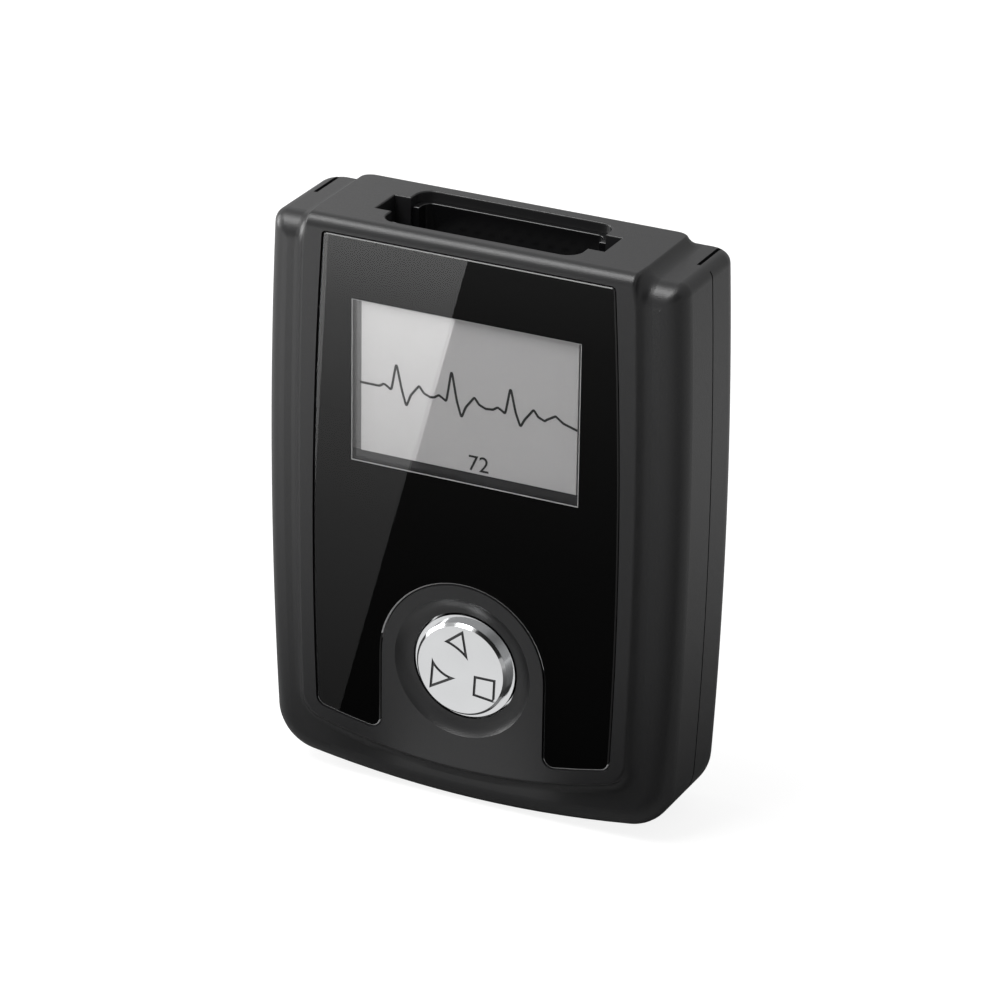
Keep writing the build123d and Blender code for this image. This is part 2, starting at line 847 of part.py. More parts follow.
# Main board, cut away round the bosses
with BuildPart() as main_board:
    with BuildSketch(layer(board_depth)):
        body_outline(wall + board_gap)
        with Locations((0, board_top / 2)):
            Rectangle(body_width, board_top, mode=Mode.INTERSECT)
        notch_radius = boss_radius + boss_gap
        with Locations(*screw_places):
            Circle(notch_radius, mode=Mode.SUBTRACT)
        for x, height in screw_places:
            with Locations((x * (1 + screw_inset / screw_half / 2), height)):
                Rectangle(screw_inset, 2 * notch_radius, mode=Mode.SUBTRACT)
        with Locations((-screw_half, 0), (screw_half, 0)):
            Rectangle(2 * notch_radius, 2 * screw_low_height, mode=Mode.SUBTRACT)
        with Locations((-body_half, 0), (body_half, 0)):
            Rectangle(2 * screw_inset, 2 * screw_low_height, mode=Mode.SUBTRACT)
        with Locations(*board_screw_places):
            Circle(board_screw_radius + fine_gap, mode=Mode.SUBTRACT)
    extrude(amount=-board_thick)
finish(main_board, "main_board")

with BuildPart() as board_screws:
    for place in board_screw_places:
        rod_rearward(place, board_head_radius, board_back, board_back + board_head_thick)
        rod_rearward(place, board_screw_radius, front_wall, board_back)
        with Locations((place[0], front_y + board_back + board_head_thick - screw_slot_depth / 2, place[1])):
            Box(2 * board_head_radius, screw_slot_depth, screw_slot_width, mode=Mode.SUBTRACT)
finish(board_screws, "board_screws")

# Key: three snap domes under one metal cap that rocks on a ball
key_axis = Axis((0, 0, key_height), (0, 1, 0))
dome_sphere = (dome_radius**2 + dome_height**2) / (2 * dome_height)
with BuildPart() as dome_switches:
    with Locations(layer(board_depth)):
        with Locations((0, key_height)):
            with PolarLocations(post_circle, 3, 90):
                with Locations((0, 0, dome_height - dome_sphere)):
                    Sphere(dome_sphere)
    box_between(
        both(dish_radius),
        (board_depth - dome_height, board_depth),
        (key_height - dish_radius, key_height + dish_radius),
        mode=Mode.INTERSECT,
    )
finish(dome_switches, "dome_switches")

socket_cup_radius = ball_radius + socket_cup_wall + fine_gap
with BuildPart() as key_socket:
    rod_rearward((0, key_height), socket_cup_radius, ball_depth + cup_gap, board_depth)
    with Locations((0, front_y + ball_depth, key_height)):
        Sphere(ball_radius + fine_gap, mode=Mode.SUBTRACT)
finish(key_socket, "key_socket")

with BuildPart() as key_pivot:
    with Locations((0, front_y + ball_depth, key_height)):
        Sphere(ball_radius)
finish(key_pivot, "key_pivot")

key_hollow_depth = key_face_thick - key_proud
key_back = flange_back + key_retainer_thick
with BuildPart() as key_cap:
    with BuildSketch(Plane.YZ):
        with BuildLine():
            Polyline(
                [
                    (front_y + depth, key_height + radius)
                    for depth, radius in (
                        (-key_proud, 0),
                        (-key_proud, key_face_radius - key_bevel),
                        (key_bevel - key_proud, key_face_radius),
                        (key_flange_depth, key_face_radius),
                        (key_flange_depth, key_flange_radius),
                        (flange_back, key_flange_radius),
                        (flange_back, key_retainer_radius),
                        (key_back, key_retainer_radius),
                        (key_back, key_flange_radius - key_skirt_wall),
                        (key_hollow_depth, key_flange_radius - key_skirt_wall),
                        (key_hollow_depth, 0),
                    )
                ],
                close=True,
            )
        make_face()
    revolve(axis=key_axis)
    rod_rearward((0, key_height), socket_cup_radius, key_hollow_depth, ball_depth - cup_gap)
    with Locations((0, front_y + ball_depth, key_height)):
        Sphere(ball_radius + fine_gap, mode=Mode.SUBTRACT)
    with BuildSketch(layer(key_hollow_depth)):
        with Locations((0, key_height)):
            with PolarLocations(post_circle, 3, 90):
                Circle(post_radius)
    extrude(amount=key_hollow_depth - board_depth + dome_height + post_gap)
    for symbol in (up_symbol_share, left_symbol_share):
        corners = [(x * key_face_radius, key_height + z * key_face_radius) for x, z in symbol]
        with BuildSketch(layer(-key_proud)):
            with BuildLine():
                Polyline(corners[0], corners[1], corners[2])
                ThreePointArc(corners[2], corners[3], corners[0])
            make_face()
            offset(amount=-symbol_line, kind=Kind.INTERSECTION, mode=Mode.SUBTRACT)
        extrude(amount=-symbol_depth, mode=Mode.SUBTRACT)
    with BuildSketch(layer(-key_proud)):
        with BuildLine():
            Polyline(
                [(x * key_face_radius, key_height + z * key_face_radius) for x, z in square_symbol_share],
                close=True,
            )
        make_face()
        offset(amount=-symbol_line, kind=Kind.INTERSECTION, mode=Mode.SUBTRACT)
    extrude(amount=-symbol_depth, mode=Mode.SUBTRACT)
finish(key_cap, "key_cap")

# Cable socket: insulator, contacts and the liner of the mouth
contact_places = [
    ((column - (contact_columns - 1) / 2) * contact_pitch, notch_centre + row * contact_row_pitch / 2)
    for column in range(contact_columns)
    for row in (-1, 1)
]
with BuildPart() as cable_socket:
    box_between(
        both(insulator_width / 2),
        (notch_centre - insulator_thick / 2, notch_centre + insulator_thick / 2),
        (insulator_bottom, mouth_bottom),
    )
    box_between(
        both(insulator_width / 2 + insulator_flange),
        (notch_centre - insulator_thick / 2, notch_centre + insulator_thick / 2 + insulator_flange),
        (tub_bottom - insulator_flange, tub_bottom),
    )
    with BuildSketch(Plane.XY.offset(mouth_bottom)):
        with Locations(*[(x, front_y + depth) for x, depth in contact_places]):
            Circle(contact_hole_radius)
    extrude(amount=-insulator_height, mode=Mode.SUBTRACT)
finish(cable_socket, "cable_socket")

with BuildPart() as socket_contacts:
    for x, depth in contact_places:
        lower_row = depth > notch_centre
        tail = insulator_bottom - contact_tail_step * (2 if lower_row else 1)
        blade = (x - contact_width / 2, x + contact_width / 2)
        box_between(
            blade,
            (depth - contact_width / 2, depth + contact_width / 2),
            (tail, mouth_bottom - contact_recess),
        )
        box_between(blade, (board_back, depth - contact_width / 2), (tail, tail + contact_tail_thick))
finish(socket_contacts, "socket_contacts")

with BuildPart() as socket_shroud:
    with BuildSketch(Plane.XY.offset(mouth_bottom)):
        with Locations((0, front_y + mouth_centre)):
            RectangleRounded(2 * (mouth_half - fine_gap), mouth_length - 2 * fine_gap, mouth_round - fine_gap)
    extrude(amount=mouth_deep - shroud_drop)
    with BuildSketch(Plane.XY.offset(mouth_bottom)):
        with Locations((0, front_y + mouth_centre)):
            shroud_length = mouth_length - 2 * shroud_wall
            RectangleRounded(2 * (mouth_half - shroud_wall), shroud_length, mouth_round - shroud_wall)
    extrude(amount=mouth_deep, mode=Mode.SUBTRACT)
    box_between(
        both(mouth_half + overrun),
        (notch_front - shroud_notch_gap, notch_back + shroud_notch_gap),
        (mouth_bottom + shroud_base, body_height),
        mode=Mode.SUBTRACT,
    )
    fillet(socket_shroud.faces().sort_by(Axis.Z)[-2:].edges(), shroud_round)
finish(socket_shroud, "socket_shroud")

# Electronics
with BuildPart() as shield_can:
    box_between(
        (can_place[0] - can_width / 2, can_place[0] + can_width / 2),
        (board_back, board_back + can_thick),
        (can_place[1] - can_height / 2, can_place[1] + can_height / 2),
    )
    box_between(
        (can_place[0] - can_width / 2 + can_sheet, can_place[0] + can_width / 2 - can_sheet),
        (board_back, board_back + can_thick - can_sheet),
        (can_place[1] - can_height / 2 + can_sheet, can_place[1] + can_height / 2 - can_sheet),
        mode=Mode.SUBTRACT,
    )
finish(shield_can, "shield_can")

with BuildPart() as ecg_amplifiers:
    for side in (-1, 1):
        middle = can_place[0] + side * amplifier_pitch / 2
        box_between(
            (middle - amplifier_width / 2, middle + amplifier_width / 2),
            (board_back, board_back + amplifier_thick),
            (can_place[1] - amplifier_width / 2, can_place[1] + amplifier_width / 2),
        )
finish(ecg_amplifiers, "ecg_amplifiers")

lead_y = front_y + board_back + lead_thick / 2
lead_steps = [(index - (lead_count - 1) / 2) * lead_pitch for index in range(lead_count)]
with BuildPart() as processor:
    box_between(
        (processor_place[0] - processor_width / 2, processor_place[0] + processor_width / 2),
        (board_back, board_back + processor_thick),
        (processor_place[1] - processor_width / 2, processor_place[1] + processor_width / 2),
    )
    reach = processor_width + 2 * lead_reach
    for step in lead_steps:
        with Locations((processor_place[0] + step, lead_y, processor_place[1])):
            Box(lead_width, lead_thick, reach)
        with Locations((processor_place[0], lead_y, processor_place[1] + step)):
            Box(reach, lead_thick, lead_width)
finish(processor, "processor")

with BuildPart() as memory_chips:
    for side in (-1, 1):
        middle = memory_place[0] + side * memory_pitch / 2
        box_between(
            (middle - memory_width / 2, middle + memory_width / 2),
            (board_back, board_back + memory_thick),
            (memory_place[1] - memory_height / 2, memory_place[1] + memory_height / 2),
        )
        for step in lead_steps:
            with Locations((middle + step, lead_y, memory_place[1])):
                Box(lead_width, lead_thick, memory_height + 2 * lead_reach)
finish(memory_chips, "memory_chips")

with BuildPart() as clock_crystal:
    box_between(
        (crystal_place[0] - crystal_width / 2, crystal_place[0] + crystal_width / 2),
        (board_back, board_back + crystal_thick),
        (crystal_place[1] - crystal_height / 2, crystal_place[1] + crystal_height / 2),
    )
    fillet(clock_crystal.edges().filter_by(Axis.Y), crystal_height / 3)
finish(clock_crystal, "clock_crystal")

coin_front = board_back + coin_clip_sheet + fine_gap
with BuildPart() as clock_cell:
    rod_rearward(coin_place, coin_radius, coin_front, coin_front + coin_thick)
    fillet(clock_cell.edges().filter_by(GeomType.CIRCLE).sort_by(Axis.Y)[-1], coin_clip_sheet)
finish(clock_cell, "clock_cell")

with BuildPart() as clock_cell_clip:
    clip_inner = coin_radius + fine_gap
    clip_back = coin_front + coin_thick + fine_gap
    clip_heights = (coin_place[1] - coin_clip_width / 2, coin_place[1] + coin_clip_width / 2)
    box_between(
        (coin_place[0] - clip_inner - coin_clip_sheet, coin_place[0] + clip_inner + coin_clip_sheet),
        (board_back, clip_back + coin_clip_sheet),
        clip_heights,
    )
    box_between(
        (coin_place[0] - clip_inner, coin_place[0] + clip_inner),
        (board_back + coin_clip_sheet, clip_back),
        clip_heights,
        mode=Mode.SUBTRACT,
    )
finish(clock_cell_clip, "clock_cell_clip")

with BuildPart() as beeper:
    rod_rearward(beeper_place, beeper_radius, board_back, board_back + beeper_thick)
    rod_rearward(
        beeper_place,
        beeper_port_radius,
        board_back + beeper_thick / 2,
        board_back + beeper_thick,
        mode=Mode.SUBTRACT,
    )
finish(beeper, "beeper")

with BuildPart() as board_capacitors:
    for column in range(capacitor_columns):
        across = capacitor_middle + (column - (capacitor_columns - 1) / 2) * capacitor_pitch
        for row in range(capacitor_rows):
            up = capacitor_low + row * capacitor_row_pitch
            box_between(
                (across - capacitor_width / 2, across + capacitor_width / 2),
                (board_back, board_back + capacitor_thick),
                (up - capacitor_height / 2, up + capacitor_height / 2),
            )
finish(board_capacitors, "board_capacitors")

# Cell: the steel can shows at both ends of its sleeve
can_radius = cell_radius - cell_sleeve_thick
can_end = cell_length / 2 - cell_button_length
with BuildPart() as battery_can:
    rod_across((-cell_length / 2, can_end), cell_depth, cell_height, can_radius)
    fillet(battery_can.edges().filter_by(GeomType.CIRCLE), cell_end_round)
    rod_across((can_end, cell_length / 2), cell_depth, cell_height, cell_button_radius)
finish(battery_can, "battery_can")

with BuildPart() as battery_sleeve:
    sleeve_ends = (cell_end_round - cell_length / 2, can_end - cell_end_round)
    rod_across(sleeve_ends, cell_depth, cell_height, cell_radius)
    rod_across(sleeve_ends, cell_depth, cell_height, can_radius, mode=Mode.SUBTRACT)
finish(battery_sleeve, "battery_sleeve")


def battery_contact(side):
    # plate against the end of the bay, a bowed leaf towards the cell and a tab down to the board
    plate_ends = sorted((side * (bay_half - contact_sheet), side * bay_half))
    box_between(
        plate_ends,
        (cell_depth - contact_plate_width / 2, cell_depth + contact_plate_width / 2),
        (cell_height - contact_plate_width / 2, cell_height + contact_plate_width / 2),
    )
    box_between(
        plate_ends,
        (board_back, cell_depth),
        (cell_height - contact_tab_width / 2, cell_height + contact_tab_width / 2),
    )
    root = side * (bay_half - contact_sheet)
    middle = front_y + cell_depth
    with BuildSketch(Plane.XY.offset(cell_height - contact_bow_width / 2)) as leaf:
        with BuildLine() as leaf_line:
            start = (root, middle - contact_bow_span / 2)
            end = (root, middle + contact_bow_span / 2)
            inner_start = (root, start[1] + contact_sheet)
            inner_end = (root, end[1] - contact_sheet)
            ThreePointArc(start, (root - side * contact_bow, middle), end)
            Line(end, inner_end)
            ThreePointArc(inner_end, (root - side * (contact_bow - contact_sheet), middle), inner_start)
            Line(inner_start, start)
        make_face(leaf_line.edges())
    extrude(leaf.sketch, amount=contact_bow_width)


with BuildPart() as contact_positive:
    battery_contact(1)
finish(contact_positive, "contact_positive")

with BuildPart() as contact_negative:
    battery_contact(-1)
finish(contact_negative, "contact_negative")

# Battery door with its seal, swinging on the hinge pin
seal_middle_x = (bay_half + door_half + door_gap) / 2
seal_low = bay_low - door_seal_width
seal_high = bay_high + door_land / 2 + door_gap / 2
with BuildPart() as door_seal:
    seal_range = (door_inner, door_inner + door_seal_thick)
    box_between(
        both(seal_middle_x + door_seal_width / 2 - door_gap),
        seal_range,
        (seal_low - door_seal_width / 2, seal_high + door_seal_width / 2 - door_gap),
    )
    box_between(
        both(seal_middle_x - door_seal_width / 2 - door_gap),
        seal_range,
        (seal_low + door_seal_width / 2, seal_high - door_seal_width / 2 - door_gap),
        mode=Mode.SUBTRACT,
    )
finish(door_seal, "door_seal")

with BuildPart() as battery_door:
    with BuildSketch(layer(door_inner)):
        with Locations((0, (door_low + door_top) / 2)):
            Rectangle(2 * door_half, door_top - door_low)
        fillet(vertices().group_by(Axis.Y)[-1], door_corner)
    extrude(amount=-door_thick)
    # the knuckle, round the pin, with its flat back flush with the plate
    with BuildSketch(Plane.YZ.offset(-door_knuckle_half)):
        with BuildLine():
            centre = front_y + hinge_depth
            inner_face = front_y + door_inner
            meet = hinge_height + (barrel_radius**2 - (hinge_depth - door_inner) ** 2) ** 0.5
            ThreePointArc(
                (inner_face, meet),
                (centre - barrel_radius / 2**0.5, hinge_height - barrel_radius / 2**0.5),
                (centre + barrel_radius, hinge_height),
            )
            Polyline(
                (centre + barrel_radius, hinge_height),
                (centre + barrel_radius, door_low),
                (inner_face, door_low),
                (inner_face, meet),
            )
        make_face()
        with Locations((centre, hinge_height)):
            Circle(pin_radius + fine_gap, mode=Mode.SUBTRACT)
    extrude(amount=2 * door_knuckle_half)
    rod_across(both(finger_groove_half), body_depth, door_top, finger_groove_radius, mode=Mode.SUBTRACT)
    for side in (-1, 1):
        with Locations((side * (door_half - detent_radius + detent_proud), detent_y, door_top - detent_drop)):
            Cylinder(detent_radius, detent_length)
    add(door_seal.part, mode=Mode.SUBTRACT)
finish(battery_door, "battery_door")

with BuildPart() as hinge_pin:
    rod_across(both(door_half - knuckle_gap), hinge_depth, hinge_height, pin_radius)
finish(hinge_pin, "hinge_pin")
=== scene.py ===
import math
import bpy
import numpy as np
from mathutils import Matrix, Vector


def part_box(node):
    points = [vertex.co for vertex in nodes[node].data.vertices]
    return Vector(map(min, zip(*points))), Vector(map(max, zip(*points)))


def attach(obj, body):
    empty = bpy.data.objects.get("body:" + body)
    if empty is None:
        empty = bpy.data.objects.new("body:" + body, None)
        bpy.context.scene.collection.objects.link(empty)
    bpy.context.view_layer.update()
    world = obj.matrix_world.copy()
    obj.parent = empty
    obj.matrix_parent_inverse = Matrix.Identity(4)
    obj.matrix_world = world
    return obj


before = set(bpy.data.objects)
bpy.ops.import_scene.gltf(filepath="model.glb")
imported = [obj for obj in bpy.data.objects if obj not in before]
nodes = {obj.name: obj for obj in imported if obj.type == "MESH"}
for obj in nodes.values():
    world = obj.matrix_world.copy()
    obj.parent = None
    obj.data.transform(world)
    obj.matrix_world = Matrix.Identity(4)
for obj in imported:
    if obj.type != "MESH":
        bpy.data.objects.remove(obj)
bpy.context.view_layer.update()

scene = bpy.context.scene
mm = 0.001
print("loaded", len(nodes), "nodes")


def linear(hexColour):
    # sRGB hex value to a linear colour
    parts = [int(hexColour[i:i + 2], 16) / 255 for i in (1, 3, 5)]
    return tuple(p / 12.92 if p <= 0.04045 else ((p + 0.055) / 1.055) ** 2.4 for p in parts) + (1.0,)


def addNode(tree, kind, links=None, **settings):
    # one shader node; settings are its own choices, links gives each input a value or a socket.
    # A Mix of colours takes its two colours at inputs 6 and 7 and gives the result at output 2
    node = tree.nodes.new("ShaderNode" + kind)
    for name, value in settings.items():
        setattr(node, name, value)
    for socket, value in (links or {}).items():
        if isinstance(value, bpy.types.NodeSocket):
            tree.links.new(value, node.inputs[socket])
        else:
            node.inputs[socket].default_value = value
    return node


def emptyMaterial(name):
    material = bpy.data.materials.new(name)
    material.use_nodes = True
    material.node_tree.nodes.clear()
    return material, material.node_tree


# What a finish has where its own dictionary says nothing else
ordinary = {
    "stretch": (1, 1, 1), "cloudMm": 9.0, "relief": 0.2, "reliefMm": 0.02, "metallic": 0.0, "sockets": {},
    "grainDetail": 3.0, "grainRough": 0.6, "cloudDetail": 2.0, "mixFrom": 0.2, "mixTo": 0.8,
    "cloudRough": 0.02,
}


def solidFinish(own):
    # the ordinary finish: two close colours mixed by a cloud, uneven gloss, and a fine relief
    values = {**ordinary, **own}
    material, tree = emptyMaterial(values["name"])
    place = addNode(tree, "TexCoord").outputs["Object"]
    stretched = addNode(tree, "Mapping", {"Vector": place, "Scale": values["stretch"]}).outputs["Vector"]
    grain = addNode(tree, "TexNoise", {
        "Vector": stretched, "Scale": 1 / (values["grainMm"] * mm), "Detail": values["grainDetail"],
        "Roughness": values["grainRough"]}).outputs["Fac"]
    cloud = addNode(tree, "TexNoise", {
        "Vector": place, "Scale": 1 / (values["cloudMm"] * mm),
        "Detail": values["cloudDetail"]}).outputs["Fac"]
    share = addNode(tree, "MapRange", {
        "Value": cloud, "To Min": values["mixFrom"], "To Max": values["mixTo"]}).outputs["Result"]
    colour = addNode(tree, "Mix", {
        0: share, 6: linear(values["colour"]),
        7: linear(values["colourTwo"])}, data_type="RGBA").outputs[2]
    wear = addNode(tree, "MapRange", {
        "Value": cloud, "To Min": -values["cloudRough"],
        "To Max": values["cloudRough"]}).outputs["Result"]
    dullness = addNode(tree, "MapRange", {
        "Value": grain, "To Min": values["rough"][0], "To Max": values["rough"][1]}).outputs["Result"]
    rough = addNode(tree, "Math", {0: wear, 1: dullness}).outputs[0]
    relief = addNode(tree, "Bump", {
        "Height": grain, "Strength": values["relief"], "Distance": values["reliefMm"] * mm})
    shader = addNode(tree, "BsdfPrincipled", {
        "Base Color": colour, "Roughness": rough, "Normal": relief.outputs["Normal"],
        "Metallic": values["metallic"], **values["sockets"]})
    addNode(tree, "OutputMaterial", {"Surface": shader.outputs[0]})
    return material


def dress(material, *names):
    for name in names:
        mesh = nodes[name].data
        mesh.materials.clear()
        mesh.materials.append(material)


# Camera: fitted to the photograph's edges, a long lens from the upper right
camera = {
    "place": (0.2471, -0.5099, 0.29455), "turn": (65.7338, -0.8259, 26.1584), "lens": 180.0,
    "sensor": 36.0, "nearest": 0.01,
}
cameraData = bpy.data.cameras.new("camera")
cameraData.lens = camera["lens"]
cameraData.sensor_width = camera["sensor"]
cameraData.clip_start = camera["nearest"]
cameraObject = bpy.data.objects.new("camera", cameraData)
cameraObject.location = camera["place"]
cameraObject.rotation_euler = [math.radians(a) for a in camera["turn"]]
scene.collection.objects.link(cameraObject)
scene.camera = cameraObject
scene.view_settings.view_transform = "Standard"
print("camera placed")

# Casing: ABS moulded in a spark-eroded tool, which gives a fine even grain and a soft dull shine
casingAbs = solidFinish({
    "name": "absSparkGrain", "colour": "#1b1b1c", "colourTwo": "#1f1f20",
    "grainMm": 0.2, "rough": (0.33, 0.45), "relief": 0.6, "reliefMm": 0.035, "cloudMm": 14.0,
})
dress(casingAbs, "front_housing", "rear_housing", "battery_door")

# Liner of the socket: ABS from a polished tool, black and shiny
linerAbs = solidFinish({
    "name": "absPolished", "colour": "#101011", "colourTwo": "#121213",
    "grainMm": 0.6, "rough": (0.14, 0.2), "relief": 0.05, "reliefMm": 0.01,
})
dress(linerAbs, "socket_shroud")

# Insulator of the socket: glass-filled PBT, dull black with a slight flow mottle
insulatorPbt = solidFinish({
    "name": "pbtGlassFilled", "colour": "#151516", "colourTwo": "#1c1c1c",
    "grainMm": 0.3, "rough": (0.5, 0.65), "relief": 0.2, "reliefMm": 0.02,
})
dress(insulatorPbt, "cable_socket", "display_frame")

# Lens: clear hard-coated acrylic, polished in front; its cut edge is frosted and dark with ink, and is
# painted pale where it faces down and round the arch, which is a painted highlight
lens = {
    "colour": "#fbfbfb", "rough": 0.0, "ior": 1.49, "waveMm": 18.0, "wave": 0.02, "waveHighMm": 0.01,
    # the second edge colour is the painted highlight on the downward-facing cut edge
    "edge": "#2c2c2c", "edgePaintedHighlight": "#e6e6e6", "edgeRough": 0.25,
    "frost": "#2a2a2a", "frostMm": 0.3, "frostShare": 0.3, "shadow": "#f5f5f5",
    # a face is cut edge where its normal has less Y than the first, and gets the painted highlight
    # where its normal has less Z than the second
    "edgeBelow": 0.9, "highlightBelowZ": -0.15,
}
lensAcrylic, tree = emptyMaterial("acrylicHardCoated")
coords = addNode(tree, "TexCoord")
wave = addNode(tree, "TexNoise", {
    "Vector": coords.outputs["Object"], "Scale": 1 / (lens["waveMm"] * mm), "Detail": 0.0}).outputs["Fac"]
relief = addNode(tree, "Bump", {
    "Height": wave, "Strength": lens["wave"], "Distance": lens["waveHighMm"] * mm})
polished = addNode(tree, "BsdfPrincipled", {
    "Base Color": linear(lens["colour"]), "Roughness": lens["rough"], "IOR": lens["ior"],
    "Transmission Weight": 1.0, "Normal": relief.outputs["Normal"]})
frost = addNode(tree, "TexNoise", {
    "Vector": coords.outputs["Object"], "Scale": 1 / (lens["frostMm"] * mm)}).outputs["Fac"]
frost = addNode(tree, "MapRange", {"Value": frost, "To Max": lens["frostShare"]}).outputs["Result"]
facing = addNode(tree, "SeparateXYZ", {0: coords.outputs["Normal"]})
# painted highlight: cut-edge faces whose normal points down get the pale colour instead of the dark ink
paintedHighlightMask = addNode(tree, "Math", {
    0: facing.outputs["Z"], 1: lens["highlightBelowZ"]}, operation="LESS_THAN").outputs[0]
edgeColour = addNode(tree, "Mix", {
    0: paintedHighlightMask, 6: linear(lens["edge"]), 7: linear(lens["edgePaintedHighlight"])}, data_type="RGBA").outputs[2]
edgeColour = addNode(tree, "Mix", {
    0: frost, 6: edgeColour, 7: linear(lens["frost"])}, data_type="RGBA").outputs[2]
cutEdge = addNode(tree, "BsdfPrincipled", {
    "Base Color": edgeColour, "Roughness": lens["edgeRough"], "IOR": lens["ior"]})
flatness = addNode(tree, "Math", {0: facing.outputs["Y"]}, operation="ABSOLUTE").outputs[0]
onEdge = addNode(tree, "Math", {0: flatness, 1: lens["edgeBelow"]}, operation="LESS_THAN").outputs[0]
surface = addNode(tree, "MixShader", {0: onEdge, 1: polished.outputs[0], 2: cutEdge.outputs[0]})
# light falls through the lens without caustics, because shadow rays pass it
passed = addNode(tree, "BsdfTransparent", {"Color": linear(lens["shadow"])})
shadowRay = addNode(tree, "LightPath").outputs["Is Shadow Ray"]
surface = addNode(tree, "MixShader", {0: shadowRay, 1: surface.outputs[0], 2: passed.outputs[0]})
addNode(tree, "OutputMaterial", {"Surface": surface.outputs[0]})
dress(lensAcrylic, "front_lens")

# Print on the back of the lens and its tape: screen-printed black ink, wetted by the glue, so it
# has no shine
lensInk = solidFinish({
    "name": "screenInkBlack", "colour": "#020202", "colourTwo": "#040404",
    "grainMm": 0.1, "rough": (0.5, 0.6), "relief": 0.0, "sockets": {"Specular IOR Level": 0.0},
})
dress(lensInk, "lens_print", "lens_adhesive")

# Display film: a pale polariser over a metal reflector, so part of its light is a mirror image; the
# gaps between its dots just show
film = {
    "colour": "#d5d4d4", "colourTwo": "#d1d0d0", "cloudMm": 11.0, "rough": 0.0, "metallic": 0.40,
    "dotMm": 0.46, "gapShare": 0.06, "gap": "#808080", "gapStrength": 0.05,
}
filmLow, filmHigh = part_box("display_film")
filmPolariser, tree = emptyMaterial("polariserSatin")
place = addNode(tree, "TexCoord").outputs["Object"]
parts = addNode(tree, "SeparateXYZ", {0: place})
gaps = []
for axis in ("X", "Z"):
    fromGap = addNode(tree, "Math", {
        0: parts.outputs[axis], 1: film["dotMm"] * mm}, operation="PINGPONG").outputs[0]
    gaps.append(addNode(tree, "Math", {
        0: fromGap, 1: film["gapShare"] * film["dotMm"] * mm}, operation="LESS_THAN").outputs[0])
grid = addNode(tree, "Math", {0: gaps[0], 1: gaps[1]}, operation="MAXIMUM").outputs[0]
grid = addNode(tree, "MapRange", {"Value": grid, "To Max": film["gapStrength"]}).outputs["Result"]
cloud = addNode(tree, "TexNoise", {
    "Vector": place, "Scale": 1 / (film["cloudMm"] * mm), "Detail": 1.0}).outputs["Fac"]
colour = addNode(tree, "Mix", {
    0: cloud, 6: linear(film["colour"]), 7: linear(film["colourTwo"])}, data_type="RGBA").outputs[2]
colour = addNode(tree, "Mix", {
    0: grid, 6: colour, 7: linear(film["gap"])}, data_type="RGBA").outputs[2]
shader = addNode(tree, "BsdfPrincipled", {
    "Base Color": colour, "Roughness": film["rough"], "Metallic": film["metallic"]})
addNode(tree, "OutputMaterial", {"Surface": shader.outputs[0]})
dress(filmPolariser, "display_film")

# Display glass: soda-lime glass over its grey seal; its left ledge has a painted highlight, its lower
# ledge painted shade
ledge = {
    # left is a painted highlight colour and lower a painted shade colour for the glass's ledges
    "left": "#6c6c6c", "lower": "#343435", "rest": "#5a5a5a", "rough": 0.06, "ior": 1.52,
    "frost": "#202020", "frostMm": 0.8, "frostShare": 0.12,
}
displayGlass, tree = emptyMaterial("sodaLimePaintedLedgeLight")
place = addNode(tree, "TexCoord").outputs["Object"]
parts = addNode(tree, "SeparateXYZ", {0: place})
paintedHighlightLeft = addNode(tree, "Math", {0: parts.outputs["X"], 1: filmLow.x}, operation="LESS_THAN").outputs[0]
paintedShadeLower = addNode(tree, "Math", {0: parts.outputs["Z"], 1: filmLow.z}, operation="LESS_THAN").outputs[0]
frost = addNode(tree, "TexNoise", {
    "Vector": place, "Scale": 1 / (ledge["frostMm"] * mm), "Detail": 2.0}).outputs["Fac"]
frost = addNode(tree, "MapRange", {"Value": frost, "To Max": ledge["frostShare"]}).outputs["Result"]
# painted highlight on the left ledge and painted shade on the lower ledge, chosen by place
colour = addNode(tree, "Mix", {
    0: paintedHighlightLeft, 6: linear(ledge["rest"]), 7: linear(ledge["left"])}, data_type="RGBA").outputs[2]
colour = addNode(tree, "Mix", {
    0: paintedShadeLower, 6: colour, 7: linear(ledge["lower"])}, data_type="RGBA").outputs[2]
colour = addNode(tree, "Mix", {
    0: frost, 6: colour, 7: linear(ledge["frost"])}, data_type="RGBA").outputs[2]
shader = addNode(tree, "BsdfPrincipled", {
    "Base Color": colour, "Roughness": ledge["rough"], "IOR": ledge["ior"]})
addNode(tree, "OutputMaterial", {"Surface": shader.outputs[0]})
dress(displayGlass, "display_glass")

# Key: cast aluminium, satin face under a clear lacquer, bright cut edge, and painted shade on the floor
# of the symbols' grooves
key = {
    "face": "#dedfe0", "faceTwo": "#d2d3d4", "cloudMm": 5.0, "grainMm": 0.09, "rough": (0.08, 0.15),
    "relief": 0.15, "reliefMm": 0.01, "grooveShadeColour": "#3c3d3e", "paintDepthMm": 0.15, "paintReachMm": 5.6,
}
keyLow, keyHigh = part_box("key_cap")
keyCentre = (keyLow.z + keyHigh.z) / 2
keyMetal, tree = emptyMaterial("aluminiumSatin")
place = addNode(tree, "TexCoord").outputs["Object"]
depth = addNode(tree, "SeparateXYZ", {0: place}).outputs["Y"]
grain = addNode(tree, "TexNoise", {
    "Vector": place, "Scale": 1 / (key["grainMm"] * mm), "Detail": 3.0}).outputs["Fac"]
cloud = addNode(tree, "TexNoise", {
    "Vector": place, "Scale": 1 / (key["cloudMm"] * mm), "Detail": 1.0}).outputs["Fac"]
centred = addNode(tree, "Mapping", {"Vector": place, "Location": (0, 0, -keyCentre), "Scale": (1, 0, 1)})
radius = addNode(tree, "VectorMath", {0: centred.outputs["Vector"]}, operation="LENGTH").outputs["Value"]
